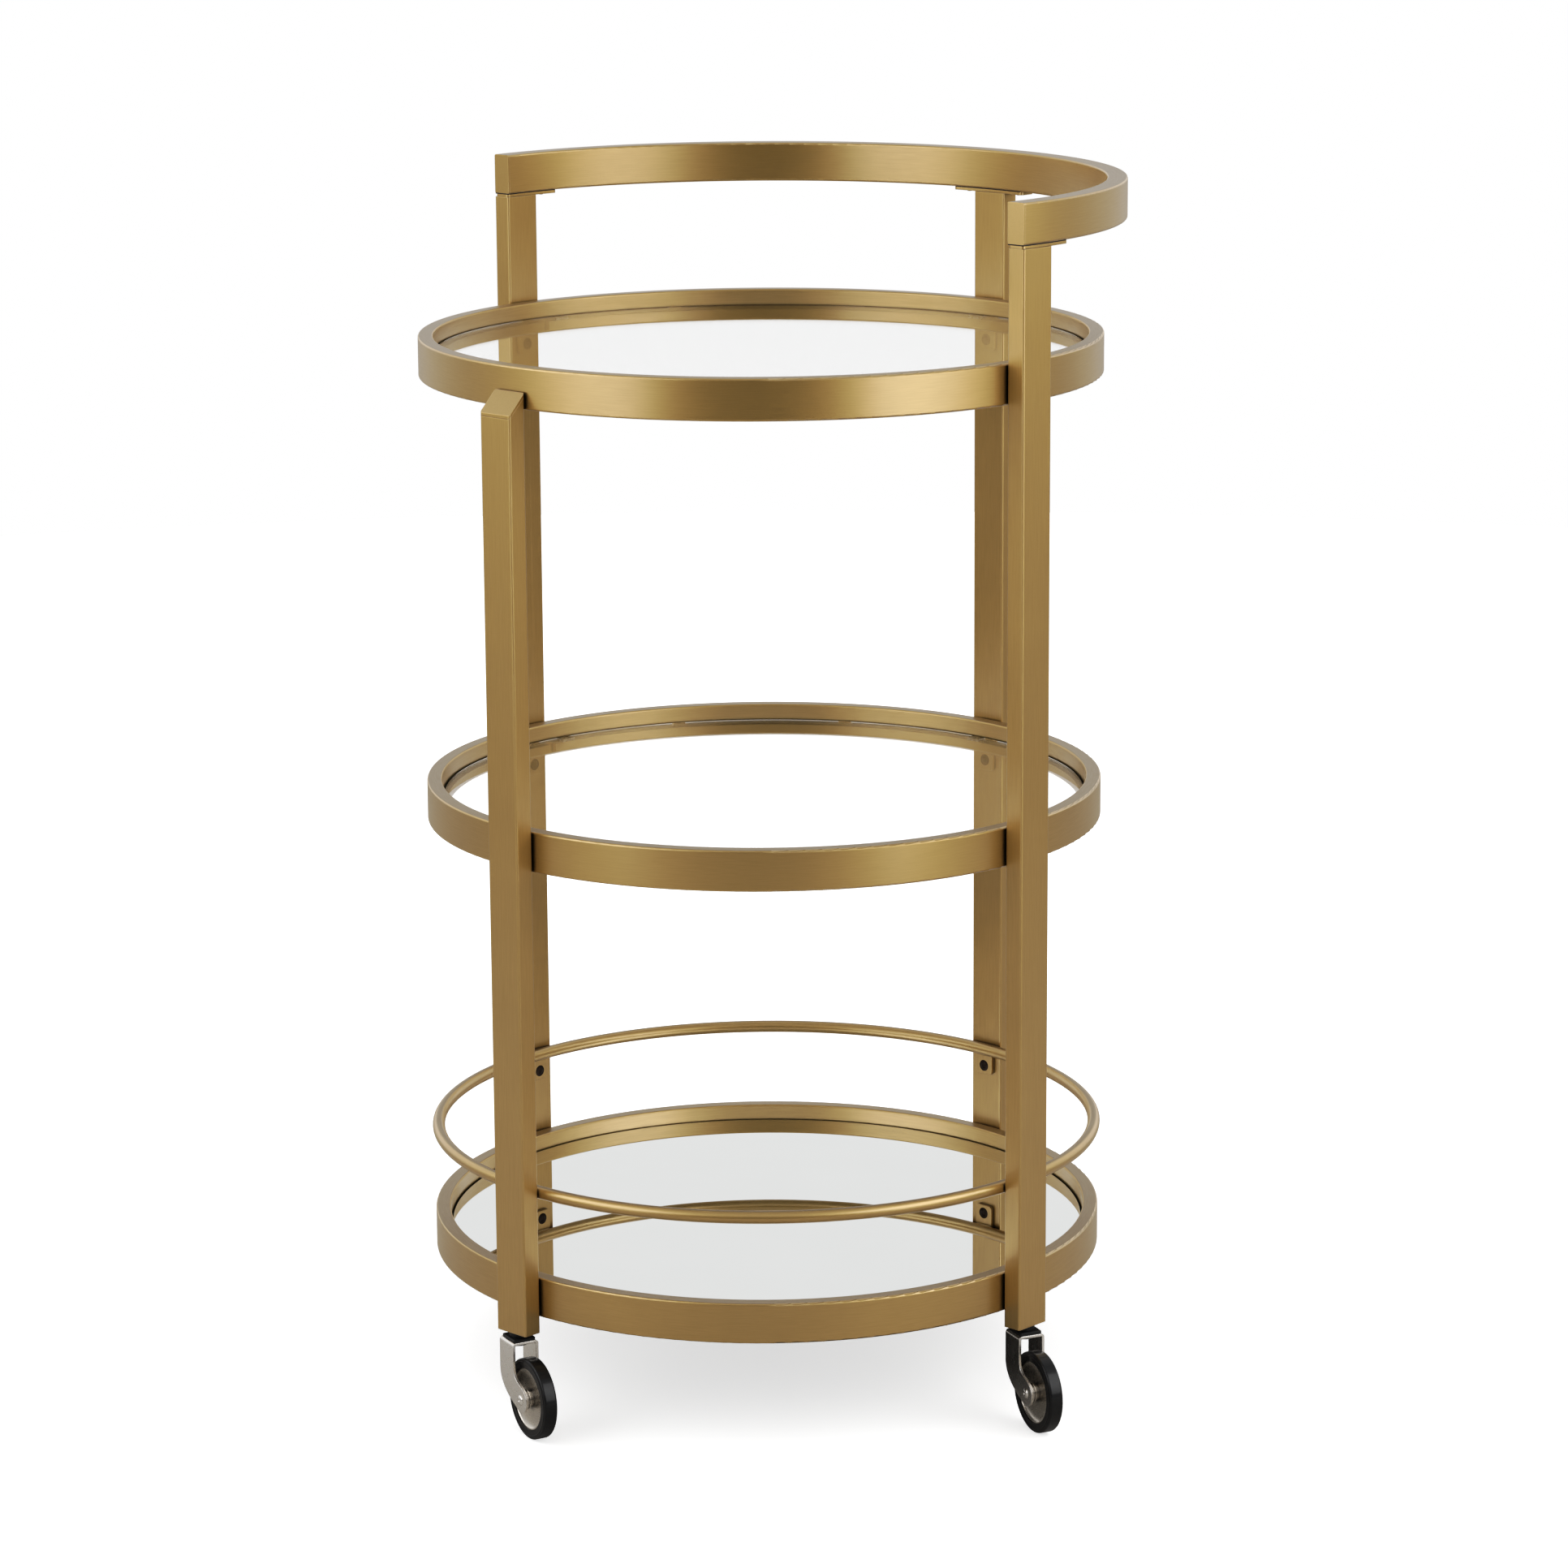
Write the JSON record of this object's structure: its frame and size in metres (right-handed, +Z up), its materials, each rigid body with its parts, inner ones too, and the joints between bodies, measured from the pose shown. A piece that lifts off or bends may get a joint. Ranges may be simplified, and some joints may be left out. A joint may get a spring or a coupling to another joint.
{
  "type": "bar cart on wheels",
  "caption": "Round open bar cart with glass shelves and a mirror shelf in rolled metal rings, a rolled push handle, a gallery rail and swivel casters.",
  "frame": {"origin": "on the floor, on the common axis of the round shelves", "axes": "+Z up, -Y towards the front, where the short post stands at the left and a tall post at the right; the handle covers the back and the right side"},
  "size_m": [0.4444, 0.4445, 0.762],
  "materials": {
    "satin_gold": "satin brushed antique gold plating, clear-coated",
    "clear_glass": "clear tempered glass, ground edge",
    "mirror_pane": "silvered glass mirror",
    "clear_silicone": "clear soft silicone",
    "dark_screw": "black-bronze screw finish",
    "zinc_steel": "zinc-plated steel",
    "black_nylon": "black moulded nylon",
    "polished_nickel": "polished to satin nickel plating",
    "black_rubber": "smooth black rubber"
  },
  "bodies": {
    "frame": {"post_front_left": "satin_gold", "post_front_right": "satin_gold", "post_rear_right": "satin_gold", "post_rear_left": "satin_gold", "short_post_cap": "satin_gold", "handle_rail": "satin_gold", "handle_end_caps": "satin_gold", "handle_plate_front_right": "satin_gold", "handle_plate_rear_right": "satin_gold", "handle_plate_rear_left": "satin_gold", "top_shelf_ring": "satin_gold", "top_shelf_ledge": "satin_gold", "top_shelf_tabs": "satin_gold", "middle_shelf_ring": "satin_gold", "middle_shelf_ledge": "satin_gold", "middle_shelf_tabs": "satin_gold", "bottom_shelf_ring": "satin_gold", "bottom_shelf_ledge": "satin_gold", "bottom_shelf_tabs": "satin_gold", "gallery_rail": "satin_gold", "gallery_tabs": "satin_gold", "top_glass": "clear_glass", "middle_glass": "clear_glass", "bottom_mirror": "mirror_pane", "bumper_pads": "clear_silicone", "shelf_screws": "dark_screw", "gallery_screws": "dark_screw", "handle_screws": "dark_screw", "bottom_shelf_screws": "dark_screw", "rivet_nuts": "zinc_steel", "post_foot_plugs": "zinc_steel", "caster_stem_front_left": "zinc_steel", "caster_stem_front_right": "zinc_steel", "caster_stem_rear_right": "zinc_steel", "caster_stem_rear_left": "zinc_steel", "caster_collar_front_left": "black_nylon", "caster_collar_front_right": "black_nylon", "caster_collar_rear_right": "black_nylon", "caster_collar_rear_left": "black_nylon"},
    "fork_front_left": {"caster_fork_front_left": "polished_nickel", "swivel_cover_front_left": "black_nylon", "wheel_axle_front_left": "polished_nickel"},
    "wheel_front_left": {"wheel_hub_front_left": "polished_nickel", "tyre_front_left": "black_rubber"},
    "fork_front_right": {"caster_fork_front_right": "polished_nickel", "swivel_cover_front_right": "black_nylon", "wheel_axle_front_right": "polished_nickel"},
    "wheel_front_right": {"wheel_hub_front_right": "polished_nickel", "tyre_front_right": "black_rubber"},
    "fork_rear_right": {"caster_fork_rear_right": "polished_nickel", "swivel_cover_rear_right": "black_nylon", "wheel_axle_rear_right": "polished_nickel"},
    "wheel_rear_right": {"wheel_hub_rear_right": "polished_nickel", "tyre_rear_right": "black_rubber"},
    "fork_rear_left": {"caster_fork_rear_left": "polished_nickel", "swivel_cover_rear_left": "black_nylon", "wheel_axle_rear_left": "polished_nickel"},
    "wheel_rear_left": {"wheel_hub_rear_left": "polished_nickel", "tyre_rear_left": "black_rubber"}
  },
  "joints": [
    {"name": "swivel_front_left", "type": "hinge", "parent": "frame", "child": "fork_front_left", "pos_m": [-0.15715, -0.15715, 0.0589], "axis": [0, 0, 1], "continuous": true},
    {"name": "spin_front_left", "type": "hinge", "parent": "fork_front_left", "child": "wheel_front_left", "pos_m": [-0.14847, -0.17349, 0.0254], "axis": [0.8829, 0.4695, 0], "continuous": true},
    {"name": "swivel_front_right", "type": "hinge", "parent": "frame", "child": "fork_front_right", "pos_m": [0.15715, -0.15715, 0.0589], "axis": [0, 0, 1], "continuous": true},
    {"name": "spin_front_right", "type": "hinge", "parent": "fork_front_right", "child": "wheel_front_right", "pos_m": [0.16438, -0.17418, 0.0254], "axis": [0.9205, 0.3907, 0], "continuous": true},
    {"name": "swivel_rear_right", "type": "hinge", "parent": "frame", "child": "fork_rear_right", "pos_m": [0.15715, 0.15715, 0.0589], "axis": [0, 0, 1], "continuous": true},
    {"name": "spin_rear_right", "type": "hinge", "parent": "fork_rear_right", "child": "wheel_rear_right", "pos_m": [0.16468, 0.14025, 0.0254], "axis": [0.9135, 0.4067, 0], "continuous": true},
    {"name": "swivel_rear_left", "type": "hinge", "parent": "frame", "child": "fork_rear_left", "pos_m": [-0.15715, 0.15715, 0.0589], "axis": [0, 0, 1], "continuous": true},
    {"name": "spin_rear_left", "type": "hinge", "parent": "fork_rear_left", "child": "wheel_rear_left", "pos_m": [-0.14876, 0.14067, 0.0254], "axis": [0.891, 0.454, 0], "continuous": true}
  ]
}
